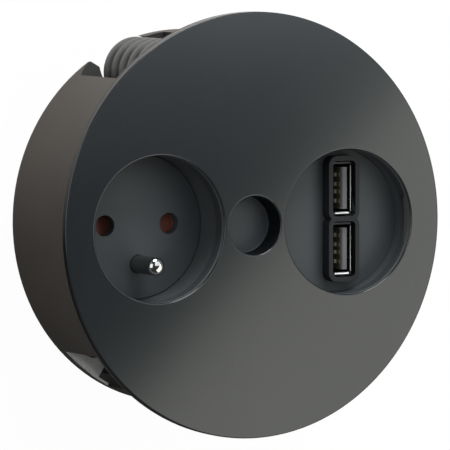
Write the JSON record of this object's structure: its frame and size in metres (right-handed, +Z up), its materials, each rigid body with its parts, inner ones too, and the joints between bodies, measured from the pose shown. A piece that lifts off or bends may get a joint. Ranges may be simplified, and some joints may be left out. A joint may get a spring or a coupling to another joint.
{
  "type": "in-desk power socket",
  "caption": "Round in-desk power unit with a mains socket well, a twin USB charger well and a cover that turns to close them.",
  "frame": {"origin": "centre of the casing's underside, on the cover's turning axis", "axes": "+Z up along the cover's normal, +X from the mains well to the USB well, +Y towards the gland sleeve"},
  "size_m": [0.112, 0.112, 0.042],
  "materials": {
    "cover": "fine satin, dark anthracite",
    "casing": "moulded, matt",
    "insert": "moulded, satin",
    "inner_plastic": "moulded",
    "shutter_plastic": "moulded",
    "plated_pin": "nickel plated",
    "plated_steel": "nickel plated",
    "spring_steel": "rolled",
    "brass_contact": "stamped",
    "gilt": "gilt",
    "usb_tongue": "moulded",
    "board": "lacquered laminate",
    "wire": "sheathed",
    "gland_rubber": "moulded, satin",
    "gasket_foam": "cellular"
  },
  "bodies": {
    "casing_body": {"back_cover": "casing", "board_link": "inner_plastic", "capacitors": "inner_plastic", "carrier": "insert", "case_screws": "plated_steel", "casing": "casing", "clip_screws": "plated_steel", "deck_screws": "plated_steel", "desk_gasket": "gasket_foam", "detent_spring": "spring_steel", "earth_pin": "plated_pin", "earth_strap": "brass_contact", "far_contact": "brass_contact", "gland_plate": "inner_plastic", "gland_screws": "plated_steel", "gland_sleeve": "gland_rubber", "line_wire": "wire", "liner_screws": "plated_steel", "mains_liner": "insert", "near_contact": "brass_contact", "neutral_wire": "wire", "power_board": "board", "retaining_clip_1": "spring_steel", "retaining_clip_2": "spring_steel", "shutter_spring": "spring_steel", "socket_body": "inner_plastic", "socket_floor": "insert", "socket_screws": "plated_steel", "supply_wires": "wire", "terminal_block": "inner_plastic", "terminal_screws": "plated_steel", "transformer": "inner_plastic", "usb_bezel": "insert", "usb_board": "board", "usb_contacts_1": "gilt", "usb_contacts_2": "gilt", "usb_liner": "insert", "usb_shell_1": "plated_steel", "usb_shell_2": "plated_steel", "usb_tongue_1": "usb_tongue", "usb_tongue_2": "usb_tongue"},
    "cover_body": {"cover_plate": "cover", "finger_cup": "cover", "pivot_screw": "plated_steel", "retaining_washer": "plated_steel"},
    "shutter_body": {"shutter": "shutter_plastic"}
  },
  "joints": [
    {"name": "cover_turn", "type": "hinge", "parent": "casing_body", "child": "cover_body", "pos_m": [0, 0, 0.042], "axis": [0, 0, 1], "range_deg": [0, 90]},
    {"name": "shutter_slide", "type": "slide", "parent": "casing_body", "child": "shutter_body", "axis": [0, 1, 0], "range_m": [0, 0.006], "stiffness_N_per_m": 120, "springref_m": -0.002, "deforming": ["shutter_spring"]}
  ]
}
